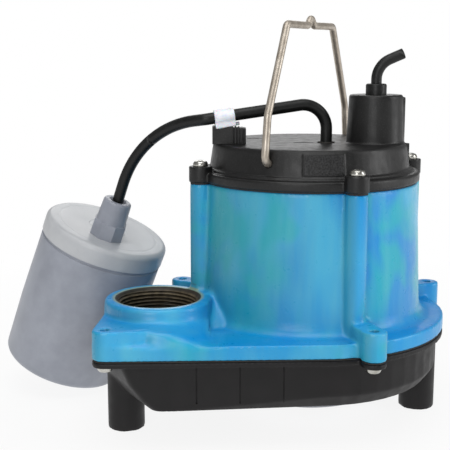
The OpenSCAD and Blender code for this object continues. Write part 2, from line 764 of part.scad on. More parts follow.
// Tether: turns about the tie, and ends in a ball in the float's gland
module tether_cord() {
    bend_start = tether_start * cos(cord_fall);
    bend_end = bend_start + bend_x * tether_bend_r;
    bend_end_z = -tether_start * sin(cord_fall) - bend_z * tether_bend_r;
    color([0.05, 0.05, 0.05]) translate(hinge) rotate([0, 0, tether_az]) {
        sphere(r = cord_r * 1.01);
        rotate([0, 90 + cord_fall, 0]) cylinder(r = cord_r, h = tether_start);
        translate([bend_start - tether_bend_r * sin(cord_fall), 0,
                   -tether_start * sin(cord_fall) - tether_bend_r * cos(cord_fall)])
            cord_bend(cord_r, tether_bend_r, 90 - tether_end_fall, 90 - cord_fall);
        translate([bend_end, 0, bend_end_z]) rotate([0, 90 + tether_end_fall, 0])
            cylinder(r = cord_r, h = tether_end);
    }
    color([0.05, 0.05, 0.05]) translate(gland_top) sphere(r = cord_r * 1.01);
}

module in_float() {
    translate(float_at) rotate([0, 0, float_az]) rotate([0, float_lean, 0]) children();
}

module float_gland() {
    socket_r = cord_r * 1.01 + run_gap;
    color([0.60, 0.62, 0.66]) in_float() translate([gland_xy.x, gland_xy.y, 0]) difference() {
        union() {
            translate([0, 0, -8]) cylinder(r = 6, h = 9);
            cylinder(r = 11, h = 10.5, $fn = 8);
            translate([0, 0, 10]) cylinder(r1 = 9.6, r2 = 8.9, h = gland_len - 13);
            translate([0, 0, gland_len - 3]) cylinder(r1 = 8.9, r2 = 6.6, h = 3);
        }
        translate([0, 0, gland_len - cord_r * 1.01 - 0.3]) cylinder(r = socket_r, h = 20);
        translate([0, 0, gland_len - 1.6]) cylinder(r1 = socket_r, r2 = socket_r + 2, h = 1.7);
    }
}

module float_cap() {
    cap_r = float_r + 0.5;
    edge = 2.6;
    color([0.70, 0.71, 0.72]) in_float() difference() {
        rotate_extrude() polygon([[0, -cap_h], [cap_r, -cap_h], [cap_r, -edge], [cap_r - 0.8, -0.8],
                                  [cap_r - edge, 0], [0, 0]]);
        translate([0, 0, -cap_h - cut]) cylinder(r = float_r - 3, h = cap_h - 3 + cut);
        translate([gland_xy.x, gland_xy.y, -cap_h]) cylinder(r = 6, h = 30);
    }
}

module float_shell() {
    wall = 2.5;
    bottom_r = float_r - 1;
    round_r = 4;
    color([0.55, 0.56, 0.60]) in_float() rotate_extrude() difference() {
        union() {
            polygon([[0, -float_len], [bottom_r - round_r, -float_len], [bottom_r, -float_len + round_r],
                     [float_r, -cap_h], [0, -cap_h]]);
            translate([bottom_r - round_r, -float_len + round_r]) circle(r = round_r, $fn = 48);
        }
        polygon([[-1, -float_len + wall], [bottom_r - round_r, -float_len + wall],
                 [bottom_r - wall, -float_len + round_r], [float_r - wall, 0], [-1, 0]]);
        translate([-50, -float_len]) square([50, float_len]);
    }
}

// Tube under the float's cap in which the switch ball rolls
module switch_tube() {
    color([0.85, 0.85, 0.82]) in_float() difference() {
        translate([0, 0, -62]) cylinder(r = 11, h = 62 - 9);
        translate([0, 0, -58]) cylinder(r = 8 + run_gap, h = 80);
    }
}

module micro_switch() {
    color([0.10, 0.10, 0.10]) in_float() {
        translate([-5, -3, -24]) cube([10, 6, 15]);
        translate([0, 0, -28.5]) cylinder(r = 1.2, h = 5);
    }
}

module switch_ball() {
    color([0.80, 0.80, 0.82]) in_float() translate([0, 0, -50]) sphere(r = 8);
}

motor_housing();
volute_base();
volute_gasket();
base_screws();
intake_strainer();
top_cover();
cover_gasket();
cover_screws();
bail_handle();
cord_gland();
power_cord();
float_cord();
cord_grommet();
tie_mount();
cable_tie();
stator_core();
stator_windings();
stator_screws();
bearing_bracket();
thermal_protector();
rotor_core();
motor_shaft();
upper_bearing_outer();
upper_bearing_inner();
upper_bearing_balls();
lower_bearing_outer();
lower_bearing_inner();
lower_bearing_balls();
seal_seat();
seal_head();
seal_bellows();
impeller();
tether_cord();
float_gland();
float_cap();
float_shell();
switch_tube();
micro_switch();
switch_ball();
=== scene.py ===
import json
import math

import bmesh
import bpy
from mathutils import Matrix, Vector


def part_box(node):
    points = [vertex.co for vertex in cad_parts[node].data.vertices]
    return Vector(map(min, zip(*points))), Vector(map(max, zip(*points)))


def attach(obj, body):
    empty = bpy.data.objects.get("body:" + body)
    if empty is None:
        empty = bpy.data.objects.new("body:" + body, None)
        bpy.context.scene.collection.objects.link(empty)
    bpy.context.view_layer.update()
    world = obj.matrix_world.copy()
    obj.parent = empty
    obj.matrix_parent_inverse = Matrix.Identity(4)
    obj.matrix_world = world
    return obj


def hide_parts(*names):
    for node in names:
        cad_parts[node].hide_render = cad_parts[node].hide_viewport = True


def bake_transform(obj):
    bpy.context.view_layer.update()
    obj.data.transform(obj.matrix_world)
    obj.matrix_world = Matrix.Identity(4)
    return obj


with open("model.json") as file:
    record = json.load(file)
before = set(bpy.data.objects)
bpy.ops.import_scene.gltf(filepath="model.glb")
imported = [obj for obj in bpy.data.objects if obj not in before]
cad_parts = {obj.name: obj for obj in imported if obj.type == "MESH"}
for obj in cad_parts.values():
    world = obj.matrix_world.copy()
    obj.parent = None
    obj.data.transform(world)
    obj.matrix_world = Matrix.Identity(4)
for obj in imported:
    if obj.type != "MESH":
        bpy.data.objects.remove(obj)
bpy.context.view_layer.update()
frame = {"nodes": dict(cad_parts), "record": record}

# Submersible sump pump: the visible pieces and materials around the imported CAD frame.
# Lengths are in metres. MM turns the named millimetre values below into metres.
MM = 0.001
JOINTS = {joint["name"]: joint for joint in frame["record"]["behaviour"]["joints"]}


# ---------------------------------------------------------------- mesh helpers

def add_mesh(name, vertices, faces, flat_faces=()):
    """A new mesh object, smooth except for the faces listed as flat."""
    mesh = bpy.data.meshes.new(name)
    mesh.from_pydata([tuple(v) for v in vertices], [], faces)
    flat = set(flat_faces)
    mesh.polygons.foreach_set("use_smooth", [i not in flat for i in range(len(faces))])
    return add_object(name, mesh)


def add_object(name, mesh):
    obj = bpy.data.objects.new(name, mesh)
    bpy.context.scene.collection.objects.link(obj)
    return obj


def bake_modifiers(obj):
    """Applies the object's modifiers to its mesh."""
    bpy.context.view_layer.update()
    evaluated = obj.evaluated_get(bpy.context.evaluated_depsgraph_get())
    mesh = bpy.data.meshes.new_from_object(evaluated)
    obj.modifiers.clear()
    old, obj.data = obj.data, mesh
    mesh.name = obj.name
    bpy.data.meshes.remove(old)
    return obj


def outward(obj):
    """Turns every face outward."""
    work = bmesh.new()
    work.from_mesh(obj.data)
    bmesh.ops.recalc_face_normals(work, faces=work.faces)
    work.to_mesh(obj.data)
    work.free()
    return obj


def carve(obj, cutter, operation="DIFFERENCE"):
    """Cuts one closed mesh out of another, or adds it, and removes the cutter."""
    modifier = obj.modifiers.new("carve", "BOOLEAN")
    modifier.operation = operation
    modifier.solver = "MANIFOLD"
    modifier.object = cutter
    bake_modifiers(obj)
    bpy.data.objects.remove(cutter)
    return obj


def join(name, pieces):
    """One object made of several meshes."""
    work = bmesh.new()
    for piece in pieces:
        start = len(work.verts)
        work.from_mesh(piece.data)
        work.verts.ensure_lookup_table()
        for vertex in work.verts[start:]:
            vertex.co = piece.matrix_world @ vertex.co
        bpy.data.objects.remove(piece)
    mesh = bpy.data.meshes.new(name)
    work.to_mesh(mesh)
    work.free()
    return add_object(name, mesh)


def crease(obj, angle=math.radians(38)):
    """Smooth shading that stays sharp at edges steeper than the angle."""
    mesh = obj.data
    mesh.polygons.foreach_set("use_smooth", [True] * len(mesh.polygons))
    mesh.set_sharp_from_angle(angle=angle)
    return obj


def arc_corner(before, corner, after, radius, steps):
    """Points of the arc that rounds one corner of a path, in 2-D or 3-D."""
    inward = (corner - before).normalized()
    onward = (after - corner).normalized()
    turn = inward.angle(onward)
    if turn < math.radians(1) or radius <= 0:
        return [corner]
    room = 0.49 * min((corner - before).length, (after - corner).length)
    reach = min(radius * math.tan(turn / 2), room)
    radius = reach / math.tan(turn / 2)
    centre = corner + (onward - inward).normalized() * (radius / math.cos(turn / 2))
    first, last = corner - inward * reach - centre, corner + onward * reach - centre
    points = []
    for i in range(steps + 1):
        share = i / steps
        points.append(centre + (first * math.sin((1 - share) * turn) + last * math.sin(share * turn))
                      / math.sin(turn))
    return points


def round_path(points, radii, steps=6, closed=False):
    """A path with its corners rounded. radii is one radius, or one for each point."""
    points = [Vector(p) for p in points]
    if not isinstance(radii, (list, tuple)):
        radii = [radii] * len(points)
    rounded = []
    for i, (corner, radius) in enumerate(zip(points, radii)):
        if not closed and i in (0, len(points) - 1):
            rounded.append(corner)
        else:
            rounded += arc_corner(points[i - 1], corner, points[(i + 1) % len(points)], radius, steps)
    return rounded


def lathe(name, profile, segments=96, closed=False):
    """A solid turned about Z from (radius, height) points. An open profile starts and ends on the
    axis, and a closed one makes a ring."""
    vertices, rows, faces = [], [], []
    for radius, height in profile:
        if radius < 1e-7:
            rows.append([len(vertices)] * segments)
            vertices.append((0, 0, height))
            continue
        rows.append([len(vertices) + k for k in range(segments)])
        for k in range(segments):
            turn = 2 * math.pi * k / segments
            vertices.append((radius * math.cos(turn), radius * math.sin(turn), height))
    pairs = list(zip(rows, rows[1:] + rows[:1])) if closed else list(zip(rows, rows[1:]))
    for low, high in pairs:
        for k in range(segments):
            corner = [low[k], low[(k + 1) % segments], high[(k + 1) % segments], high[k]]
            corner = list(dict.fromkeys(corner))
            if len(corner) > 2:
                faces.append(corner)
    return outward(add_mesh(name, vertices, faces))


def frames_along(path):
    """A pair of directions square to the path at each point, turned as little as possible."""
    tangents = []
    for i in range(len(path)):
        tangents.append((path[min(i + 1, len(path) - 1)] - path[max(i - 1, 0)]).normalized())
    side = tangents[0].orthogonal().normalized()
    pairs = []
    for tangent in tangents:
        side = (side - tangent * side.dot(tangent)).normalized()
        pairs.append((side, tangent.cross(side)))
    return pairs


def sweep(name, path, radius, segments=28, cap_round=0.0, pairs=None):
    """A round bar along a path, with flat ends whose edges are rounded by cap_round. pairs is given
    when the path is one length of a longer bar."""
    path = [Vector(p) for p in path]
    rings = []
    pairs = pairs or frames_along(path)
    start, end = (path[0] - path[1]).normalized(), (path[-1] - path[-2]).normalized()
    cap = []
    if cap_round > 0:
        for i in range(4):
            turn = math.pi / 2 * i / 4
            cap.append((cap_round * (1 - math.sin(turn)), radius - cap_round * (1 - math.cos(turn))))
        cap = [(cap_round - out, size) for out, size in cap]
    for out, size in reversed(cap):
        rings.append((path[0] + start * out, pairs[0], size))
    for point, pair in zip(path, pairs):
        rings.append((point, pair, radius))
    for out, size in cap:
        rings.append((path[-1] + end * out, pairs[-1], size))
    vertices, faces = [], []
    for centre, (side, over), size in rings:
        for k in range(segments):
            turn = 2 * math.pi * k / segments
            vertices.append(centre + (side * math.cos(turn) + over * math.sin(turn)) * size)
    for i in range(len(rings) - 1):
        for k in range(segments):
            a, b = i * segments + k, i * segments + (k + 1) % segments
            faces.append([a, b, b + segments, a + segments])
    faces.append(list(range(segments))[::-1])
    faces.append([(len(rings) - 1) * segments + k for k in range(segments)])
    return outward(add_mesh(name, vertices, faces, flat_faces=(len(faces) - 2, len(faces) - 1)))


def spaced(path, step):
    """The path with extra points, so that no stretch is longer than step."""
    points = [path[0]]
    for a, b in zip(path, path[1:]):
        count = max(1, math.ceil((b - a).length / step))
        points += [a.lerp(b, (i + 1) / count) for i in range(count)]
    return points


def prism(name, outline, low, high, edge=0.0):
    """A flat outline drawn up from low to high along Z, with its top edge bevelled by edge."""
    work = bmesh.new()
    face = work.faces.new([work.verts.new((x, y, low)) for x, y in outline])
    top = bmesh.ops.extrude_face_region(work, geom=[face])
    raised = [v for v in top["geom"] if isinstance(v, bmesh.types.BMVert)]
    bmesh.ops.translate(work, verts=raised, vec=(0, 0, high - low))
    if edge > 0:
        rim = [e for e in work.edges if all(abs(v.co.z - high) < 1e-7 for v in e.verts)]
        bmesh.ops.bevel(work, geom=rim, offset=edge, segments=2, affect="EDGES", profile=0.5)
    bmesh.ops.recalc_face_normals(work, faces=work.faces)
    mesh = bpy.data.meshes.new(name)
    work.to_mesh(mesh)
    work.free()
    return add_object(name, mesh)


def hull_of(name, points):
    """The convex solid around some points."""
    work = bmesh.new()
    for point in points:
        work.verts.new(point)
    bmesh.ops.convex_hull(work, input=work.verts)
    mesh = bpy.data.meshes.new(name)
    work.to_mesh(mesh)
    work.free()
    return add_object(name, mesh)


def moulded(name, node, voxel, smoothing, keep=1.0, extra=()):
    """A copy of a CAD node with the rounded edges and corners of a casting or a moulding. Extra
    solids are fused in first. keep is the share of faces that is left at the end."""
    obj = add_object(name, frame["nodes"][node].data.copy())
    obj.data.materials.clear()
    if extra:
        obj = join(name, [obj, *extra])
    remesh = obj.modifiers.new("remesh", "REMESH")
    remesh.mode = "VOXEL"
    remesh.voxel_size = voxel * 1
    smooth = obj.modifiers.new("smooth", "SMOOTH")
    smooth.factor = 0.5
    smooth.iterations = max(1, smoothing // (1))
    if keep < 1:
        fewer = obj.modifiers.new("fewer", "DECIMATE")
        fewer.ratio = keep
        even = obj.modifiers.new("even", "SMOOTH")
        even.factor = 0.4
        even.iterations = 2
    bake_modifiers(obj)
    obj.name = name
    return obj


def ramp(value, start, end):
    """0 at start and beyond, rising to 1 at end."""
    return min(1.0, max(0.0, (value - start) / (end - start)))


def soften(obj, weight_at, iterations):
    """Rounds off creases where weight_at(position) is above 0."""
    group = obj.vertex_groups.new(name="soft")
    for vertex in obj.data.vertices:
        weight = weight_at(vertex.co)
        if weight > 0:
            group.add([vertex.index], weight, "REPLACE")
    smooth = obj.modifiers.new("soften", "SMOOTH")
    smooth.factor = 0.5
    smooth.iterations = iterations
    smooth.vertex_group = group.name
    bake_modifiers(obj)
    obj.vertex_groups.clear()
    return obj


def finish_piece(obj, material, body, slot, *nodes):
    """Gives a piece its material and its body, and hides the CAD nodes it stands for. slot is not used."""
    obj.data.materials.clear()
    obj.data.materials.append(material)
    if nodes:
        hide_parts(*nodes)
    if body:
        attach(obj, body)
    return obj


# ------------------------------------------------------------ material helpers

def linear(red, green, blue):
    """A colour given as 0 to 255 screen values."""
    def one(value):
        value /= 255
        return value / 12.92 if value <= 0.04045 else ((value + 0.055) / 1.055) ** 2.4
    return (one(red), one(green), one(blue), 1)


class Look:
    """One material's nodes, wired with short calls. Noise scales are given as feature sizes."""

    def __init__(self, name, **inputs):
        self.material = bpy.data.materials.new(name)
        self.material.use_nodes = True
        self.tree = self.material.node_tree
        self.shader = self.tree.nodes["Principled BSDF"]
        self.place = self.node("ShaderNodeTexCoord").outputs["Object"]
        self.normal = None
        self.set(**inputs)

    def node(self, kind, **settings):
        node = self.tree.nodes.new(kind)
        for key, value in settings.items():
            setattr(node, key, value)
        return node

    def feed(self, socket, value):
        if isinstance(value, bpy.types.NodeSocket):
            self.tree.links.new(value, socket)
        else:
            socket.default_value = value

    def set(self, **inputs):
        for key, value in inputs.items():
            self.feed(self.shader.inputs[key.replace("_", " ")], value)

    def stretched(self, x, y, z):
        node = self.node("ShaderNodeVectorMath", operation="MULTIPLY")
        self.feed(node.inputs[0], self.place)
        node.inputs[1].default_value = (x, y, z)
        return node.outputs[0]

    def noise(self, size, detail=2.0, roughness=0.55, place=None, distortion=0.0):
        node = self.node("ShaderNodeTexNoise")
        self.feed(node.inputs["Vector"], place or self.place)
        node.inputs["Scale"].default_value = 1 / size
        node.inputs["Detail"].default_value = detail
        node.inputs["Roughness"].default_value = roughness
        node.inputs["Distortion"].default_value = distortion
        return node.outputs["Fac"]

    def cells(self, size):
        node = self.node("ShaderNodeTexVoronoi", feature="SMOOTH_F1")
        self.feed(node.inputs["Vector"], self.place)
        node.inputs["Scale"].default_value = 1 / size
        return node.outputs["Distance"]

    def bands(self, size, axis="Z", distortion=0.0):
        node = self.node("ShaderNodeTexWave", bands_direction=axis)
        self.feed(node.inputs["Vector"], self.place)
        node.inputs["Scale"].default_value = 0.314 / size
        node.inputs["Distortion"].default_value = distortion
        return node.outputs["Fac"]

    def range(self, value, low, high, to_low=0.0, to_high=1.0):
        node = self.node("ShaderNodeMapRange")
        for i, item in enumerate((value, low, high, to_low, to_high)):
            self.feed(node.inputs[i], item)
        return node.outputs[0]

    def math(self, operation, a, b=0.0):
        node = self.node("ShaderNodeMath", operation=operation)
        self.feed(node.inputs[0], a)
        self.feed(node.inputs[1], b)
        return node.outputs[0]

    def mix(self, factor, a, b):
        node = self.node("ShaderNodeMix", data_type="RGBA")
        for i, item in ((0, factor), (6, a), (7, b)):
            self.feed(node.inputs[i], item)
        return node.outputs[2]

    def mottle(self, size, first, second, detail=3):
        """Two colours in soft patches."""
        return self.mix(self.range(self.noise(size, detail), 0.3, 0.7), first, second)

    def sheen(self, size, low, high, detail=3):
        """Uneven roughness between two values."""
        self.set(Roughness=self.range(self.noise(size, detail), 0.3, 0.7, low, high))

    def bump(self, height, depth, strength=1.0):
        """Adds relief: height 0 to 1 stands for depth metres."""
        node = self.node("ShaderNodeBump")
        self.feed(node.inputs["Height"], height)
        self.feed(node.inputs["Strength"], strength)
        node.inputs["Distance"].default_value = depth
        if self.normal:
            self.feed(node.inputs["Normal"], self.normal)
        self.normal = node.outputs[0]
        self.set(Normal=self.normal)

    def edges(self, size):
        """1 where the surface turns over an edge, 0 on open faces."""
        bevel = self.node("ShaderNodeBevel", samples=4)
        bevel.inputs["Radius"].default_value = size
        plain = self.node("ShaderNodeNewGeometry").outputs["Normal"]
        dot = self.node("ShaderNodeVectorMath", operation="DOT_PRODUCT")
        self.feed(dot.inputs[0], bevel.outputs[0])
        self.feed(dot.inputs[1], plain)
        return self.range(dot.outputs["Value"], 0.98, 0.88)

    def corners(self, size):
        """1 in open air, falling to 0 deep in a corner."""
        node = self.node("ShaderNodeAmbientOcclusion", samples=6)
        node.inputs["Distance"].default_value = size
        return node.outputs["AO"]

    def facing(self, x, y, z):
        """1 where the surface faces one direction, -1 where it faces the opposite way."""
        dot = self.node("ShaderNodeVectorMath", operation="DOT_PRODUCT")
        self.feed(dot.inputs[0], self.node("ShaderNodeNewGeometry").outputs["Normal"])
        dot.inputs[1].default_value = (x, y, z)
        return dot.outputs["Value"]

    def height(self):
        node = self.node("ShaderNodeSeparateXYZ")
        self.feed(node.inputs[0], self.place)
        return node.outputs["Z"]

    def from_axis(self, x, y):
        """Distance from an upright line."""
        shift = self.node("ShaderNodeVectorMath", operation="SUBTRACT")
        self.feed(shift.inputs[0], self.place)
        shift.inputs[1].default_value = (x, y, 0)
        flat = self.node("ShaderNodeVectorMath", operation="MULTIPLY")
        self.feed(flat.inputs[0], shift.outputs[0])
        flat.inputs[1].default_value = (1, 1, 0)
        length = self.node("ShaderNodeVectorMath", operation="LENGTH")
        self.feed(length.inputs[0], flat.outputs[0])
        return length.outputs["Value"]


# ----------------------------------------------------------------- dimensions

PARTING_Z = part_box("motor_housing")[0].z
BASE_LIP_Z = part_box("volute_gasket")[0].z - 3.2 * MM
COVER_TOP_Z = 168.2 * MM
PORT = next(m for m in frame["record"]["mounts"] if m["name"] == "discharge_port")
PORT_X, PORT_Y = PORT["pos_m"][:2]
PORT_RIM_Z = 80.5 * MM
THREAD_R = 22.25 * MM
THREAD_DEPTH = 1.5 * MM
THREAD_PITCH = 2.21 * MM
MOUTH_R = 25.1 * MM
SCREW_CIRCLE_R = 69.5 * MM
HEAD_HEIGHT = 2.9 * MM
RIM_BOSSES = [Vector(p) * MM for p in ((3.1, -89.1), (88.5, 6.2), (-64.2, 62.6), (-137, -42))]
CORD_R = 3.5 * MM
POWER_CORD_R = 3.2 * MM
HANDLE_PIVOT = Vector(JOINTS["handle_swing"]["pos_m"])
TIE_HINGE = Vector(JOINTS["tether_swing"]["pos_m"])
FLOAT_HINGE = Vector(JOINTS["float_tilt"]["pos_m"])
FLOAT_AXIS = Vector(JOINTS["ball_slide"]["axis"]).normalized()
BALL_BELOW_FACE = 50 * MM
GLAND_LENGTH = 25 * MM


def middle(node):
    low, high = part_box(node)
    return (low + high) / 2


FLOAT_FACE = middle("switch_ball") + FLOAT_AXIS * BALL_BELOW_FACE
FLOAT_AZ = math.atan2(FLOAT_AXIS.y, FLOAT_AXIS.x)
FLOAT_LEAN = math.acos(FLOAT_AXIS.z)
FLOAT_TURN = Matrix.Rotation(FLOAT_AZ, 4, "Z") @ Matrix.Rotation(FLOAT_LEAN, 4, "Y")
CORD_ENTRY = middle("cord_grommet")
POWER_CORD_AT = middle("cord_gland")
COVER_BEARING = math.radians(-17.6)         # the way the cover's slots and the power cord point
FRONT_WALL_BEARING = math.radians(-105.7)   # the way the base's straight front wall faces
CORD_FALL = math.radians(8)                 # slope of the float's cord where it passes the tie


# ------------------------------------------------------------------ materials

def housing_paint():
    """Glossy sky-blue epoxy over cast iron, thin and olive on the edges, with a bare rusty thread. Painted
    shade darkens the corners, the side that faces -X, the thread's groove and the bore, and pale upright
    streaks of painted highlight run down the drum.
    """
    look = Look("housing_paint", Coat_Weight=0.12, Coat_Roughness=0.15, Specular_IOR_Level=0.35)
    sky, azure = linear(66, 172, 214), linear(0, 136, 206)
    teal, pale = linear(16, 168, 184), linear(112, 194, 200)
    patches = look.range(look.noise(52 * MM, 2, place=look.stretched(1, 1, 0.5)), 0.42, 0.58)
    paint = look.mix(patches, sky, azure)
    green = look.noise(30 * MM, 2, place=look.stretched(0.9, 1.1, 0.6), distortion=0.5)
    paint = look.mix(look.range(green, 0.5, 0.64, 0, 0.85), paint, teal)
    # Painted highlight: pale upright streaks down the drum.
    streaks = look.range(look.noise(9 * MM, 3, place=look.stretched(1, 1, 0.12)), 0.38, 0.7, 0, 0.25)
    paint = look.mix(streaks, paint, pale)
    low = look.range(look.height(), 88 * MM, 68 * MM, 0, 0.6)
    paint = look.mix(look.math("MULTIPLY", low, look.range(look.noise(34 * MM, 2), 0.35, 0.6)), paint,
                     linear(0, 150, 214))
    ledge = look.math("MULTIPLY", low, look.range(look.facing(0, 0, 1), 0.6, 0.95))
    paint = look.mix(ledge, paint, linear(0, 132, 202))
    # Painted shade: the paint turns a darker azure deep in the corners.
    paint = look.mix(look.range(look.corners(14 * MM), 0.8, 0.25, 0, 0.8), paint, linear(0, 98, 172))
    shaded = look.range(look.facing(-0.97, -0.2, 0), 0.3, 0.95, 0, 0.5)
    paint = look.mix(shaded, paint, linear(36, 116, 124))
    worn = look.range(look.noise(7 * MM, 3), 0.35, 0.65, 0.2, 0.8)
    paint = look.mix(look.math("MULTIPLY", look.edges(1.6 * MM), worn), paint, linear(108, 168, 158))
    port = look.from_axis(PORT_X, PORT_Y)
    height = look.height()
    lip = look.math("MULTIPLY", look.range(port, MOUTH_R + 2.4 * MM, MOUTH_R + 0.9 * MM),
                    look.range(height, PORT_RIM_Z - 1.2 * MM, PORT_RIM_Z - 0.3 * MM, 0, 0.75))
    lip = look.math("MULTIPLY", lip, look.range(height, PORT_RIM_Z + 2 * MM, PORT_RIM_Z + 1 * MM))
    paint = look.mix(lip, paint, linear(140, 152, 112))
    thread_rust_and_shade = look.mottle(3 * MM, linear(62, 54, 40), linear(112, 100, 76), detail=4)
    # Painted shade: the thread's groove and the bore further down turn darker.
    groove = look.range(port, THREAD_R + 0.3 * MM, THREAD_R + THREAD_DEPTH, 0, 0.85)
    thread_rust_and_shade = look.mix(groove, thread_rust_and_shade, linear(16, 13, 9))
    deep = look.range(height, PORT_RIM_Z - 3 * MM, PORT_RIM_Z - 15 * MM)
    thread_rust_and_shade = look.mix(deep, thread_rust_and_shade, linear(9, 8, 6))
    bare = look.math("MULTIPLY", look.range(port, MOUTH_R + 0.5 * MM, MOUTH_R - 0.1 * MM),
                     look.range(height, PORT_RIM_Z + 0.1 * MM, PORT_RIM_Z - 0.2 * MM))
    look.set(Base_Color=look.mix(bare, paint, thread_rust_and_shade))
    rough = look.range(look.noise(5 * MM, 3), 0.3, 0.7, 0.26, 0.42)
    look.set(Roughness=look.math("ADD", rough, look.math("MULTIPLY", bare, 0.25)))
    look.bump(look.noise(11 * MM, 3), 0.5 * MM, 0.35)
    look.bump(look.noise(1.4 * MM, 3), 0.16 * MM, 0.4)
    return look.material


def grained(name, colour, dark, roughness, grain=0.8 * MM, edge=0.0, **inputs):
    """A moulded plastic or rubber: fine grain, uneven sheen, slight colour changes, and a painted highlight
    along the edges.
    """
    patch, depth = 12 * MM, 0.05 * MM
    look = Look(name, **inputs)
    shade = look.mottle(patch, dark, colour)
    if edge > 0:
        # Painted highlight: a lighter colour along the edges.
        edge_highlight = tuple(min(1, c * 2.2 + 0.02) for c in colour[:3]) + (1,)
        shade = look.mix(look.math("MULTIPLY", look.edges(0.6 * MM), edge), shade, edge_highlight)
    look.set(Base_Color=shade)
    look.sheen(patch / 2, roughness - 0.06, roughness + 0.08)
    look.bump(look.noise(patch / 2, 2), depth * 3, 0.25)
    look.bump(look.noise(grain, 3, 0.65), depth, 0.6)
    return look.material


def cover_plastic():
    """Black glass-filled plastic: satin, with fine flow marks, a dusting of grey grain and a painted
    highlight of lighter grey along the edges.
    """
    look = Look("cover_plastic", Specular_IOR_Level=0.4)
    base = look.mottle(10 * MM, linear(6, 6, 6), linear(16, 16, 16))
    specks = look.range(look.noise(0.7 * MM, 2, 0.7), 0.55, 0.75, 0, 0.4)
    base = look.mix(specks, base, linear(62, 62, 63))
    # Painted highlight: lighter grey along the edges.
    base = look.mix(look.math("MULTIPLY", look.edges(0.7 * MM), 0.4), base, linear(84, 84, 85))
    look.set(Base_Color=base)
    look.sheen(6 * MM, 0.33, 0.5, detail=4)
    look.bump(look.noise(8 * MM, 2), 0.2 * MM, 0.25)
    look.bump(look.noise(0.8 * MM, 3, 0.7), 0.08 * MM, 0.55)
    return look.material


def label_plastic():
    """The blank label panel: a coarser, greyer spark-eroded grain."""
    look = Look("label_plastic", Specular_IOR_Level=0.3)
    cells = look.range(look.cells(0.9 * MM), 0.15, 0.75)
    look.set(Base_Color=look.mix(cells, linear(18, 18, 18), linear(50, 50, 51)))
    look.sheen(3 * MM, 0.45, 0.62)
    look.bump(cells, 0.12 * MM, 0.7)
    look.bump(look.noise(0.5 * MM, 3), 0.05 * MM, 0.6)
    return look.material


def metal(name, bright, dull, roughness, line=0.5 * MM, stretch=(1, 1, 1), depth=0.02 * MM, stain=6 * MM,
          metallic=1.0):
    """Bare metal: fine drawn or turned lines, stains and uneven sheen."""
    look = Look(name, Metallic=metallic)
    look.set(Base_Color=look.mix(look.range(look.noise(stain, 4), 0.3, 0.72), dull, bright))
    lines = look.noise(line, 3, 0.6, place=look.stretched(*stretch))
    look.set(Roughness=look.range(lines, 0.3, 0.7, roughness - 0.07, roughness + 0.1))
    look.bump(lines, depth, 0.5)
    look.bump(look.noise(stain, 2), depth * 2, 0.2)
    return look.material


def laminated_steel():
    look = Look("lamination_steel", Metallic=0.9)
    sheets = look.bands(0.5 * MM, "Z")
    tone = look.mix(sheets, linear(70, 72, 76), linear(150, 150, 152))
    stain = look.range(look.noise(9 * MM, 4), 0.45, 0.7, 0, 0.6)
    look.set(Base_Color=look.mix(stain, tone, linear(92, 80, 66)))
    look.sheen(4 * MM, 0.38, 0.55)
    look.bump(sheets, 0.08 * MM, 0.7)
    return look.material


def copper_windings():
    look = Look("winding_copper", Metallic=0.85, Coat_Weight=0.5, Coat_Roughness=0.2)
    strands = look.bands(0.9 * MM, "Z", distortion=1.2)
    look.set(Base_Color=look.mix(strands, linear(110, 48, 20), linear(198, 110, 58)))
    look.sheen(3 * MM, 0.25, 0.42)
    look.bump(strands, 0.35 * MM, 0.8)
    look.bump(look.noise(2 * MM, 3), 0.1 * MM, 0.4)
    return look.material


def float_plastic(name, light, dark):
    """Grey float plastic: smooth with faint flow streaks."""
    look = Look(name, Coat_Weight=0.1, Coat_Roughness=0.3)
    look.set(Base_Color=look.mottle(16 * MM, dark, light))
    look.sheen(8 * MM, 0.34, 0.46, detail=4)
    look.bump(look.noise(14 * MM, 2), 0.1 * MM, 0.25)
    look.bump(look.noise(0.9 * MM, 3), 0.03 * MM, 0.5)
    return look.material


def cord_rubber(name):
    """Cord jacket: satin black with faint lengthwise drag marks."""
    look = Look(name, Specular_IOR_Level=0.35)
    look.set(Base_Color=look.mottle(6 * MM, linear(5, 6, 6), linear(14, 16, 15)))
    look.sheen(3 * MM, 0.34, 0.5)
    look.bump(look.noise(1.1 * MM, 3), 0.06 * MM, 0.5)
    look.bump(look.noise(7 * MM, 2), 0.2 * MM, 0.25)
    return look.material


def nylon():
    look = Look("tie_nylon", Subsurface_Weight=0.25, Subsurface_Scale=2 * MM)
    look.set(Base_Color=look.mottle(5 * MM, linear(214, 217, 226), linear(238, 240, 246)))
    look.sheen(2 * MM, 0.38, 0.5)
    look.bump(look.noise(0.9 * MM, 3), 0.04 * MM, 0.5)
    return look.material


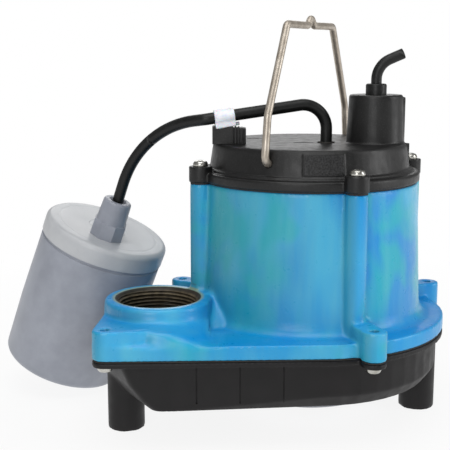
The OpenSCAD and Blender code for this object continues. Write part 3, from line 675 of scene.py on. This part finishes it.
MATERIALS = {
    "housing_paint": housing_paint(),
    "cover_plastic": cover_plastic(),
    "label_plastic": label_plastic(),
    "base_plastic": grained("base_plastic", linear(22, 20, 21), linear(13, 12, 13), 0.5, edge=0.2,
                             Specular_IOR_Level=0.3),
    "gasket_rubber": grained("gasket_rubber", linear(46, 42, 38), linear(30, 28, 26), 0.75, grain=0.5 * MM),
    "screw_steel": metal("screw_steel", linear(214, 213, 208), linear(160, 158, 150), 0.22, line=0.6 * MM),
    "handle_steel": metal("handle_steel", linear(196, 187, 175), linear(160, 150, 137), 0.4,
                          line=0.9 * MM, stretch=(1, 1, 0.1), depth=0.03 * MM, metallic=0.8),
    "cord_jacket": cord_rubber("cord_jacket"),
    "tie_nylon": nylon(),
    "strainer_plastic": grained("strainer_plastic", linear(168, 170, 178), linear(146, 148, 156), 0.5),
    "lamination_steel": laminated_steel(),
    "winding_copper": copper_windings(),
    "bracket_aluminium": metal("bracket_aluminium", linear(196, 198, 202), linear(150, 152, 156), 0.45,
                               line=1.2 * MM, depth=0.12 * MM),
    "bearing_steel": metal("bearing_steel", linear(226, 227, 230), linear(196, 197, 200), 0.16,
                           line=0.4 * MM, stretch=(1, 1, 4)),
    "seal_ceramic": grained("seal_ceramic", linear(232, 228, 216), linear(214, 208, 194), 0.3),
    "seal_carbon": grained("seal_carbon", linear(44, 44, 46), linear(30, 30, 32), 0.4, grain=0.4 * MM),
    "impeller_plastic": grained("impeller_plastic", linear(52, 54, 58), linear(38, 40, 44), 0.45, edge=0.3),
    "float_plastic": float_plastic("float_plastic", linear(150, 154, 164), linear(134, 138, 148)),
    "float_cap_plastic": float_plastic("float_cap_plastic", linear(184, 186, 188), linear(172, 174, 178)),
    "switch_plastic": grained("switch_plastic", linear(214, 212, 202), linear(190, 188, 178), 0.42),
}


# --------------------------------------------------------------------- pieces

def thread_cutter():
    """The space in the discharge port: a bore with a helical pipe thread that runs out through a
    countersunk mouth."""
    segments, per_turn = 72, 6
    groove_share, flat = 0.85, 0.9   # groove's width in the pitch, and the share of its depth kept
    low, top = PARTING_Z - 4 * MM, PORT_RIM_Z + 0.3 * MM
    rows = math.ceil((top - low) / THREAD_PITCH * per_turn)
    vertices, faces = [], []
    for i in range(rows + 1):
        height = low + (top - low) * i / rows
        mouth = MOUTH_R - (PORT_RIM_Z - height)
        fade = min(1.0, max(0.0, (height - PARTING_Z - 2 * MM) / (3 * MM)))
        for k in range(segments):
            phase = ((height - low) / THREAD_PITCH - k / segments) % 1.0
            groove = min(max(0.0, 1 - abs(phase - 0.5) * 2 / groove_share), flat) / flat
            radius = max(THREAD_R + THREAD_DEPTH * groove * fade, mouth)
            turn = 2 * math.pi * k / segments
            vertices.append((PORT_X + radius * math.cos(turn), PORT_Y + radius * math.sin(turn), height))
    rows += 1
    for k in range(segments):
        turn = 2 * math.pi * k / segments
        vertices.append((PORT_X + (MOUTH_R + MM) * math.cos(turn), PORT_Y + (MOUTH_R + MM) * math.sin(turn),
                         PORT_RIM_Z + 4 * MM))
    for i in range(rows):
        for k in range(segments):
            a, b = i * segments + k, i * segments + (k + 1) % segments
            faces.append([a, b, b + segments, a + segments])
    faces.append(list(range(segments))[::-1])
    faces.append([rows * segments + k for k in range(segments)])
    return outward(add_mesh("thread_cutter", vertices, faces))


def gusset():
    """Cast web in the corner between the port and the drum."""
    points = [(-67, -17, 82), (-64, -15, 82), (-75, -34, 63.5), (-62, -34.5, 63.5),
              (-76, -8, 80), (-60, -8, 82), (-82, -14, 62), (-56, -14, 62)]
    return hull_of("gusset", [Vector(p) * MM for p in points])


def drill(obj, places, radius, low, high):
    """Round holes through a piece."""
    profile = [(0, low), (radius, low), (radius, high), (0, high)]
    cutters = []
    for place in places:
        cutter = lathe("drill", profile, 32)
        cutter.matrix_world = Matrix.Translation((place.x, place.y, 0))
        bpy.context.view_layer.update()
        cutters.append(cutter)
    return carve(obj, join("drill", cutters))


def skirt_weight(at):
    """1 on the slope between the port and the flange's front edge, and 0 away from it."""
    x, y, z = at / MM
    along = min(ramp(x, -122, -112), ramp(x, -74, -84))
    return along * ramp(y, -32, -38) * min(ramp(z, 60.5, 64), ramp(z, 78, 74))


def motor_housing():
    piece = moulded("housing_casting", "motor_housing", voxel=1.0 * MM, smoothing=7, extra=[gusset()])
    soften(piece, skirt_weight, iterations=60)
    carve(piece, thread_cutter())
    drill(piece, RIM_BOSSES, 2.6 * MM, PARTING_Z - 2 * MM, PORT_RIM_Z)
    crease(piece, math.radians(60))
    finish_piece(piece, MATERIALS["housing_paint"], "pump", "housing_paint", "motor_housing")


def front_seams():
    """Thin upright grooves in the base's straight front wall."""
    wall, width, depth, clear = 80 * MM, 1.0 * MM, 0.9 * MM, 4 * MM
    count, pitch, first = 3, 24.2 * MM, 0.92
    low, high = BASE_LIP_Z - 22 * MM, BASE_LIP_Z - 1 * MM
    cutters = []
    for i in range(count):
        across = -pitch * (i + first)
        outline = [(wall - depth, across), (wall + clear, across),
                   (wall + clear, across + width), (wall - depth, across + width)]
        cutter = prism("seam", outline, low, high)
        cutter.matrix_world = Matrix.Rotation(FRONT_WALL_BEARING, 4, "Z")
        cutters.append(cutter)
    bpy.context.view_layer.update()
    return join("seams", cutters)


def volute_base():
    piece = moulded("base_moulding", "volute_base", voxel=0.85 * MM, smoothing=4, keep=0.45)
    carve(piece, front_seams())
    finish_piece(crease(piece), MATERIALS["base_plastic"], "pump", "base_plastic", "volute_base")


def top_cover():
    piece = moulded("cover_moulding", "top_cover", voxel=0.55 * MM, smoothing=4, keep=0.4)
    finish_piece(crease(piece), MATERIALS["cover_plastic"], "pump", "cover_plastic", "top_cover")


def label_panel():
    """Blank grained panel on the front of the dome, with a thin raised border."""
    low, high = COVER_TOP_Z - 13.9 * MM, COVER_TOP_Z - 2.6 * MM
    start, end = math.radians(-115), math.radians(-93.8)
    columns, rows = 40, 10
    border = 0.09
    vertices, faces = [], []

    def radius_at(height):
        share = (height - low) / (high - low)
        return (61.75 * (1 - share) + 59.75 * share) * MM

    for lift in (-1.2 * MM, 0.0):
        for i in range(rows + 1):
            for k in range(columns + 1):
                up, along = i / rows, k / columns
                turn = start + (end - start) * along
                height = low + (high - low) * up
                edge = min(along * 2.4, (1 - along) * 2.4, up, 1 - up)
                raised = 0.25 * MM if 0.01 < edge < border + 0.04 else 0.0
                radius = radius_at(height) + lift + (raised if lift == 0.0 else 0)
                vertices.append((radius * math.cos(turn), radius * math.sin(turn), height))
    layer, width = (rows + 1) * (columns + 1), columns + 1
    for i in range(rows):
        for k in range(columns):
            a = i * width + k
            faces.append([a, a + 1, a + 1 + width, a + width])
            b = a + layer
            faces.append([b, b + width, b + width + 1, b + 1])
    rim = [k for k in range(width)] + [i * width + columns for i in range(1, rows + 1)]
    rim += [rows * width + k for k in range(columns - 1, -1, -1)]
    rim += [i * width for i in range(rows - 1, 0, -1)]
    for a, b in zip(rim, rim[1:] + rim[:1]):
        faces.append([a, b, b + layer, a + layer])
    piece = outward(add_mesh("label_panel", vertices, faces))
    finish_piece(crease(piece), MATERIALS["label_plastic"], "pump", "cover_plastic")


def screw_head(name):
    """A pan head on its shank, head up, bearing face at z = 0, with a cross recess."""
    profile = [(0, -9), (2.35, -9), (2.35, 0), (4.5, 0), (4.5, 1.2), (3.9, 2.7), (2.1, 3.4), (0, 3.5)]
    profile = [Vector(p) * MM for p in profile]
    radii = [0, 0.3 * MM, 0.2 * MM, 0.3 * MM, 0.8 * MM, 1.6 * MM, 3 * MM, 0]
    head = lathe(name, [tuple(p) for p in round_path(profile, radii, 4)], 40)
    arm, half = 1.7 * MM, 0.4 * MM
    outline = [(half, arm), (half, half), (arm, half), (arm, -half), (half, -half), (half, -arm),
               (-half, -arm), (-half, -half), (-arm, -half), (-arm, half), (-half, half), (-half, arm)]
    return carve(head, prism("recess", outline, 2.2 * MM, 5 * MM))


def screw_set(name, places, bearing_z, upward, spin, node):
    master = screw_head(name + "_master")
    copies = []
    for i, place in enumerate(places):
        copy = add_object(name, master.data.copy())
        turn = Matrix.Rotation(spin * (i + 1), 4, "Z")
        flip = Matrix.Identity(4) if upward else Matrix.Rotation(math.pi, 4, "X")
        copy.matrix_world = Matrix.Translation((place.x, place.y, bearing_z)) @ flip @ turn
        copies.append(copy)
    bpy.data.objects.remove(master)
    bpy.context.view_layer.update()
    piece = join(name, copies)
    finish_piece(crease(piece), MATERIALS["screw_steel"], "pump", "screw_steel", node)


def screws():
    quarters = (0, math.pi / 2, math.pi, -math.pi / 2)
    circle = [Vector((math.cos(a), math.sin(a))) * SCREW_CIRCLE_R for a in quarters]
    cover_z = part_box("cover_screws")[1].z - HEAD_HEIGHT
    base_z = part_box("base_screws")[0].z + HEAD_HEIGHT
    screw_set("cover_screw_heads", circle, cover_z, True, 0.7, "cover_screws")
    screw_set("base_screw_heads", RIM_BOSSES, base_z, False, 1.1, "base_screws")


def bail_handle():
    """Bent stainless wire: hooks turned in at the pivots, and a nick in the middle of the top bar."""
    corners = [(-54, 0), (-64.4, 0), (-60.8, 26.5), (-35.5, 77.4), (-4.6, 77.2), (0, 81.7)]
    radii = [0, 4.4, 14, 3.4, 3.0, 1.6]
    corners += [(-x, z) for x, z in reversed(corners[:-1])]
    radii += radii[-2::-1]
    across = Vector((math.cos(math.pi / 4), math.sin(math.pi / 4), 0))
    points = [across * x * MM + Vector((0, 0, HANDLE_PIVOT.z + z * MM)) for x, z in corners]
    path = spaced(round_path(points, [r * MM for r in radii], 8), 6 * MM)
    piece = sweep("handle_wire", path, 2.2 * MM, 24, cap_round=0.5 * MM)
    finish_piece(piece, MATERIALS["handle_steel"], "handle", "handle_steel", "bail_handle")


def in_plane(origin, azimuth, points):
    """Points given as (distance along azimuth, height) from an origin."""
    along = Vector((math.cos(azimuth), math.sin(azimuth), 0))
    return [origin + along * s + Vector((0, 0, z)) for s, z in points]


def bend(centre_s, centre_z, radius, start, end, steps=24):
    """Arc points in a vertical plane, from one angle above the horizontal to another, in degrees."""
    points = []
    for i in range(steps + 1):
        turn = math.radians(start + (end - start) * i / steps)
        points.append((centre_s + radius * math.cos(turn), centre_z + radius * math.sin(turn)))
    return points


def float_cords():
    """The float's cord as two lengths, so that each one bends over a single joint."""
    fall, end_fall = math.degrees(CORD_FALL), 70
    radius, start, in_gland, split = 14.5 * MM, 8 * MM, 3 * MM, 18
    flat = (TIE_HINGE - CORD_ENTRY).to_2d()
    azimuth, hinge_s = math.atan2(flat.y, flat.x), flat.length
    slope_s = radius * (1 + math.sin(math.radians(fall)))
    slope_z = TIE_HINGE.z + (hinge_s - slope_s) * math.tan(math.radians(fall))
    rise_z = slope_z - radius * math.cos(math.radians(fall))
    points = [(0, COVER_TOP_Z - 12 * MM)] + bend(radius, rise_z, radius, 180, 90 - fall)
    fixed = in_plane(Vector((CORD_ENTRY.x, CORD_ENTRY.y, 0)), azimuth, points)

    flat = (FLOAT_HINGE - TIE_HINGE).to_2d()
    tether_az = math.atan2(flat.y, flat.x)
    sin_a, cos_a = math.sin(math.radians(fall)), math.cos(math.radians(fall))
    sin_b, cos_b = math.sin(math.radians(end_fall)), math.cos(math.radians(end_fall))
    reach = flat.length - start * cos_a
    drop = TIE_HINGE.z - FLOAT_HINGE.z - start * sin_a
    across, down = sin_b - sin_a, cos_a - cos_b
    tether_r = (reach * sin_b - drop * cos_b) / (across * sin_b - down * cos_b)
    points = [(0, 0)] + bend(start * cos_a - tether_r * sin_a, -start * sin_a - tether_r * cos_a,
                             tether_r, 90 - fall, 90 - end_fall, 36)
    tether = in_plane(TIE_HINGE, tether_az, points) + [FLOAT_HINGE - FLOAT_AXIS * in_gland]
    return spaced(fixed + tether[:split + 1], 2 * MM), spaced(tether[split:], 2 * MM), tether


def cords():
    """Sweeps the two lengths with one run of frames, so that they meet without a twist."""
    upper, lower, tether = float_cords()
    pairs = frames_along(upper + lower[1:])
    piece = sweep("float_cord_upper", upper, CORD_R, pairs=pairs[:len(upper)])
    finish_piece(piece, MATERIALS["cord_jacket"], None, "cord_jacket", "float_cord")
    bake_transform(piece)
    piece = sweep("float_cord_lower", lower, CORD_R, pairs=pairs[len(upper) - 1:])
    finish_piece(piece, MATERIALS["cord_jacket"], None, "cord_jacket", "tether_cord")
    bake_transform(piece)


def power_cord():
    """The mains cord's stub, bent over to a cut end."""
    radius, sweep_angle = 13 * MM, 68
    base_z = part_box("cord_gland")[1].z + 2.5 * MM
    points = [(0, COVER_TOP_Z - 10 * MM)] + bend(radius, base_z, radius, 180, 180 - sweep_angle)
    path = in_plane(Vector((POWER_CORD_AT.x, POWER_CORD_AT.y, 0)), COVER_BEARING, points)
    onward = (path[-1] - path[-2]).normalized()
    tip = path[-1] + onward * 8 * MM
    piece = sweep("power_cord_jacket", spaced(path + [tip], 2 * MM), POWER_CORD_R, cap_round=0.4 * MM)
    finish_piece(piece, MATERIALS["cord_jacket"], "pump", "cord_jacket", "power_cord")


def cord_gland():
    low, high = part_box("cord_gland")
    outer = 6.25 * MM
    profile = [(POWER_CORD_R, low.z), (outer, low.z), (outer, high.z), (POWER_CORD_R, high.z)]
    points = round_path(profile, [0, 0.2 * MM, 1.2 * MM, 0.5 * MM], 5, closed=True)
    piece = lathe("power_cord_gland", [tuple(p) for p in points], 64, closed=True)
    piece.location = (POWER_CORD_AT.x, POWER_CORD_AT.y, 0)
    finish_piece(crease(piece), MATERIALS["cord_jacket"], "pump", "cord_jacket", "cord_gland")


def tie_block():
    piece = moulded("tie_block", "tie_mount", voxel=0.22 * MM, smoothing=2, keep=0.5)
    finish_piece(crease(piece), MATERIALS["cover_plastic"], "pump", "cover_plastic", "tie_mount")


def cable_tie():
    """White strap closed round the cord, with a neck that goes down into the block and a short tail."""
    flat = (TIE_HINGE - CORD_ENTRY).to_2d().normalized() * math.cos(CORD_FALL)
    onward = Vector((flat.x, flat.y, -math.sin(CORD_FALL)))
    hub = TIE_HINGE - onward * (11 * MM / math.cos(CORD_FALL))
    side = Vector((0, 0, 1)).cross(onward).normalized()
    over = onward.cross(side)
    half, inner, outer = 6.0 * MM, CORD_R - 0.02 * MM, 4.6 * MM
    neck_drop, neck_half, neck_from = 6.3 * MM, 3.6 * MM, -0.55
    sections = [(-half, 0.55), (-half + 0.15 * MM, 0.2), (-half + 0.5 * MM, 0.0),
                (half - 0.5 * MM, 0.0), (half - 0.15 * MM, 0.2), (half, 0.55)]
    count = 56
    vertices, faces = [], []
    for along, shrink in sections:
        for k in range(count):
            turn = 2 * math.pi * k / count
            across, up = math.cos(turn), math.sin(turn)
            reach = outer
            if up < neck_from:
                reach = max(outer, min(neck_drop / -up, neck_half / max(abs(across), 1e-3)))
            reach -= shrink * MM
            vertices.append(hub + onward * along + side * across * reach + over * up * reach)
        for k in range(count):
            turn = 2 * math.pi * k / count
            reach = side * math.cos(turn) + over * math.sin(turn)
            vertices.append(hub + onward * along + reach * inner)
    ring = 2 * count
    for i in range(len(sections) - 1):
        for k in range(count):
            a, b = i * ring + k, i * ring + (k + 1) % count
            faces.append([a, b, b + ring, a + ring])
            faces.append([a + count, a + count + ring, b + count + ring, b + count])
    for base in (0, (len(sections) - 1) * ring):
        for k in range(count):
            a, b = base + k, base + (k + 1) % count
            faces.append([a, b, b + count, a + count])
    strap = outward(add_mesh("tie_strap", vertices, faces))
    tail_path = [hub - onward * 3 * MM - over * 4.6 * MM + side * -2 * MM,
                 hub - onward * 6.5 * MM - over * 5.4 * MM + side * -2.4 * MM,
                 hub - onward * 8.6 * MM - over * 5.5 * MM + side * -2.6 * MM]
    tail = sweep("tie_tail", tail_path, 1.1 * MM, 12, cap_round=0.3 * MM)
    piece = join("tie_strap", [strap, tail])
    finish_piece(crease(piece), MATERIALS["tie_nylon"], "pump", "tie_nylon", "cable_tie")


def grommet():
    low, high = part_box("cord_grommet")
    bore, flange, neck = CORD_R + 0.02 * MM, 6.4 * MM, 5.2 * MM
    step_z = low.z + 1.5 * MM
    profile = [(bore, low.z), (flange, low.z), (flange, step_z), (neck, step_z), (neck, high.z),
               (bore, high.z)]
    points = round_path(profile, 0.25 * MM, 3, closed=True)
    piece = lathe("cord_entry_grommet", [tuple(p) for p in points], 48, closed=True)
    piece.location = (CORD_ENTRY.x, CORD_ENTRY.y, 0)
    finish_piece(crease(piece), MATERIALS["gasket_rubber"], "pump", "gasket_rubber", "cord_grommet")


def place_on_float(obj, centre=None):
    obj.matrix_world = Matrix.Translation(centre or FLOAT_FACE) @ FLOAT_TURN
    obj.data.transform(obj.matrix_world)
    obj.matrix_world = Matrix.Identity(4)
    return obj


def float_body():
    """Hollow float shell with a rounded bottom edge and a bead under the cap."""
    outside = [(0, -100), (39, -100), (40, -60), (40, -14.2), (39.2, -13.6), (39.2, -12.2)]
    inside = [(36.6, -12.2), (37.4, -30), (36.6, -97.4), (0, -97.4)]
    radii = [0, 4.5, 20, 0.25, 0.25, 0.2, 0.3, 5, 3, 0]
    path = round_path([Vector(p) * MM for p in outside + inside], [r * MM for r in radii], 7)
    piece = lathe("float_body", [tuple(p) for p in path], 128)
    crease(place_on_float(piece))
    finish_piece(piece, MATERIALS["float_plastic"], "float", "float_plastic", "float_shell")


def float_lid():
    """Pressed-on cap: soft rounded edge, shallow rings and a shallow central dimple on its face."""
    face = [(0, -0.15), (1.8, -0.15), (2.2, 0), (11.5, 0), (11.9, -0.18), (12.7, -0.18), (13.1, 0),
            (31.8, 0), (32.3, -0.1), (33.1, -0.1), (33.6, 0), (40.5, 0), (40.5, -12), (37.2, -12),
            (37.2, -3), (0, -3)]
    radii = [0, 0.2, 0.2, 0.2, 0.2, 0.2, 0.2, 0.2, 0.2, 0.2, 0.3, 3.4, 0.5, 0.3, 1, 0]
    path = round_path([Vector(p) * MM for p in face], [r * MM for r in radii], 6)
    piece = lathe("float_lid", [tuple(p) for p in path], 128)
    crease(place_on_float(piece))
    finish_piece(piece, MATERIALS["float_cap_plastic"], "float", "float_cap_plastic", "float_cap")


def float_gland():
    """Cord gland: an eight-sided foot under a tapered, round-topped collar."""
    foot_r, eighths = 11 * MM, [math.pi / 4 * i for i in range(8)]
    foot = [(foot_r * math.cos(a), foot_r * math.sin(a)) for a in eighths]
    base = prism("gland_foot", foot, -0.5 * MM, 10.5 * MM, 0.7 * MM)
    profile = [(0, 8), (9.9, 8), (9.5, 12), (8.9, 25), (5.6, 25), (3.7, 23.2), (3.7, 20), (0, 20)]
    radii = [0, 0.3, 2, 3.2, 0.3, 0.4, 0.4, 0]
    path = round_path([Vector(p) * MM for p in profile], [r * MM for r in radii], 6)
    collar = lathe("gland_collar", [tuple(p) for p in path], 64)
    carve(base, collar, "UNION")
    base.name = "float_cord_gland"
    centre = FLOAT_HINGE - FLOAT_AXIS * GLAND_LENGTH
    finish_piece(crease(place_on_float(base, centre)), MATERIALS["float_plastic"], "float", "float_plastic",
                 "float_gland")


NODES_OF_SLOT = {
    "gasket_rubber": ("volute_gasket", "cover_gasket", "seal_bellows"),
    "strainer_plastic": ("intake_strainer",),
    "lamination_steel": ("stator_core", "rotor_core"),
    "winding_copper": ("stator_windings",),
    "screw_steel": ("stator_screws",),
    "bracket_aluminium": ("bearing_bracket",),
    "switch_plastic": ("thermal_protector", "switch_tube"),
    "bearing_steel": ("motor_shaft", "upper_bearing_outer", "upper_bearing_inner", "upper_bearing_balls",
                      "lower_bearing_outer", "lower_bearing_inner", "lower_bearing_balls", "switch_ball"),
    "seal_ceramic": ("seal_seat",),
    "seal_carbon": ("seal_head",),
    "impeller_plastic": ("impeller",),
    "base_plastic": ("micro_switch",),
}


def dress_frame():
    """Materials for the CAD nodes that stay as they are."""
    for slot, nodes in NODES_OF_SLOT.items():
        for node in nodes:
            mesh = frame["nodes"][node].data
            mesh.materials.clear()
            mesh.materials.append(MATERIALS[slot])


# ---------------------------------------------------------------------- stage

def backdrop():
    """Pale floor that fades into the white background."""
    look = Look("floor", Roughness=0.85)
    look.set(Base_Color=look.mottle(40 * MM, (0.86, 0.86, 0.86, 1), (0.9, 0.9, 0.9, 1)))
    look.bump(look.noise(3 * MM, 3), 0.05 * MM, 0.3)
    glow = look.node("ShaderNodeEmission")
    glow.inputs["Color"].default_value = (1, 1, 1, 1)
    blend = look.node("ShaderNodeMixShader")
    look.feed(blend.inputs[0], look.range(look.from_axis(-40 * MM, 0), 0.15, 0.5, 0.88, 1.0))
    look.feed(blend.inputs[1], look.shader.outputs[0])
    look.feed(blend.inputs[2], glow.outputs[0])
    look.feed(look.tree.nodes["Material Output"].inputs["Surface"], blend.outputs[0])
    floor = lathe("floor", [(0, 0), (0.2, 0), (0.6, 0), (2, 0), (8, 0)], 96)
    floor.location.z = -0.1 * MM
    floor.data.materials.append(look.material)


def world_light():
    world = bpy.data.worlds.new("studio")
    bpy.context.scene.world = world
    world.use_nodes = True
    tree = world.node_tree
    background = tree.nodes["Background"]
    path = tree.nodes.new("ShaderNodeLightPath")
    strength = tree.nodes.new("ShaderNodeMapRange")
    tree.links.new(path.outputs["Is Camera Ray"], strength.inputs[0])
    strength.inputs["To Min"].default_value = 0.32
    strength.inputs["To Max"].default_value = 1.0
    tree.links.new(strength.outputs[0], background.inputs["Strength"])
    background.inputs["Color"].default_value = (1, 1, 1, 1)


def softbox(name, place, target, width, height, power):
    light = bpy.data.lights.new(name, "AREA")
    light.shape, light.size, light.size_y, light.energy = "RECTANGLE", width, height, power
    obj = bpy.data.objects.new(name, light)
    obj.location = place
    obj.rotation_euler = (Vector(target) - Vector(place)).to_track_quat("-Z", "Y").to_euler()
    bpy.context.scene.collection.objects.link(obj)


def studio():
    target = (-0.03, 0, 0.1)
    softbox("top_box", (-0.2, -0.3, 1.3), target, 1.0, 1.0, 8)
    softbox("front_box", (-0.9, -1.3, 0.7), target, 0.7, 1.1, 9)
    softbox("right_box", (1.3, -0.7, 0.6), target, 0.6, 1.1, 8.5)
    softbox("back_box", (0.4, 1.5, 0.9), target, 1.0, 0.8, 5)
    bpy.context.scene.view_settings.view_transform = "Standard"


def camera():
    """The photograph's view, given by its bearing, its height and the point it looks at."""
    azimuth, elevation, distance = math.radians(-17.624), math.radians(10.141), 600 * MM
    aim = Vector((-50.484, 11.756, 116.682)) * MM
    back = Vector((math.sin(azimuth) * math.cos(elevation), -math.cos(azimuth) * math.cos(elevation),
                   math.sin(elevation)))
    data = bpy.data.cameras.new("camera")
    data.sensor_width, data.lens = 36, 77.54
    obj = bpy.data.objects.new("camera", data)
    obj.location = aim + back * distance
    obj.rotation_mode = "QUATERNION"
    obj.rotation_quaternion = (-back).to_track_quat("-Z", "Y")
    bpy.context.scene.collection.objects.link(obj)
    bpy.context.scene.camera = obj


dress_frame()
motor_housing()
volute_base()
top_cover()
label_panel()
screws()
bail_handle()
cords()
power_cord()
cord_gland()
tie_block()
cable_tie()
grommet()
float_body()
float_lid()
float_gland()
backdrop()
world_light()
studio()
camera()
